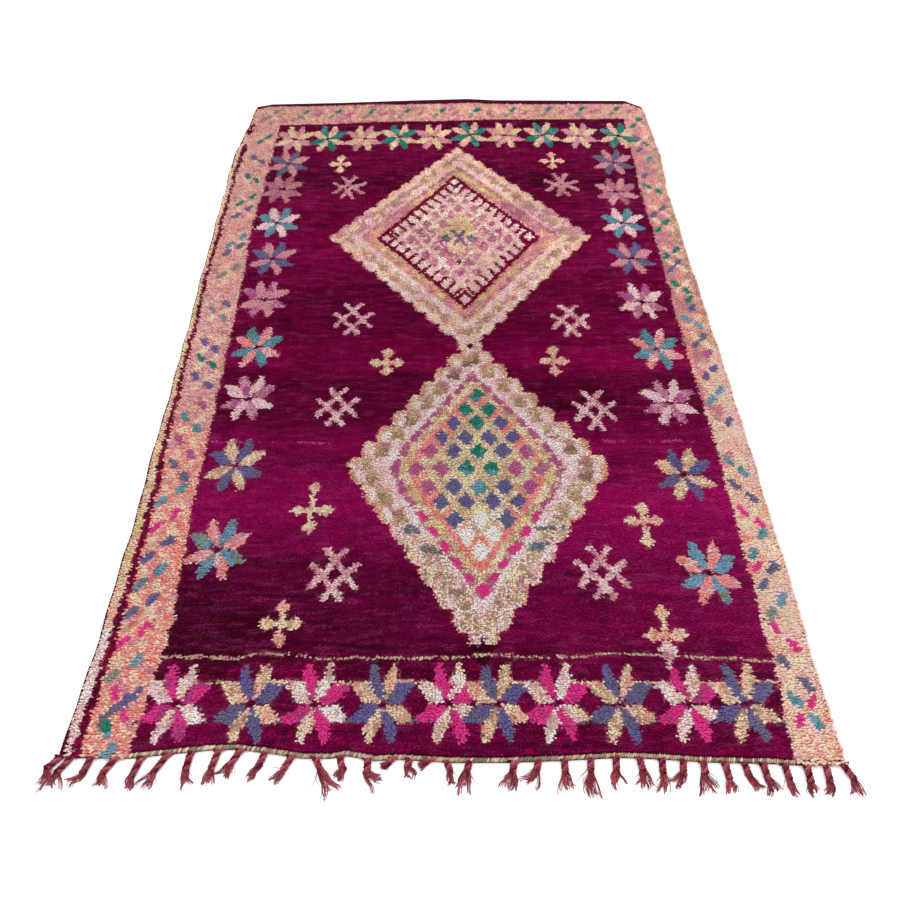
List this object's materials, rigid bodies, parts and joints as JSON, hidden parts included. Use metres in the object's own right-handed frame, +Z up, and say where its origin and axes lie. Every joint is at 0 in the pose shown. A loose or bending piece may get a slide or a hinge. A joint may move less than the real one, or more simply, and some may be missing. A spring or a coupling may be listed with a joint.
{
  "type": "hand-knotted wool rug",
  "caption": "Flat hand-knotted wool pile rug with lozenges, stars and small crosses inside a dashed border, and plied tassels along one end.",
  "frame": {"origin": "on the floor under the middle of the rug's whole outline, fringe and cloth together", "axes": "+X across the rug, +Y along it from the fringed end to the plain end, +Z up out of the pile"},
  "size_m": [1.7684, 3.0646, 0.0151],
  "materials": {
    "wool_pile": "soft knotted wool pile in magenta, with pale, peach, indigo and green motifs",
    "warp_yarn": "plied wool yarn, dark red, frayed at its ends"
  },
  "bodies": {
    "root": {"rug_body": "wool_pile", "fringe": "warp_yarn"}
  },
  "joints": []
}
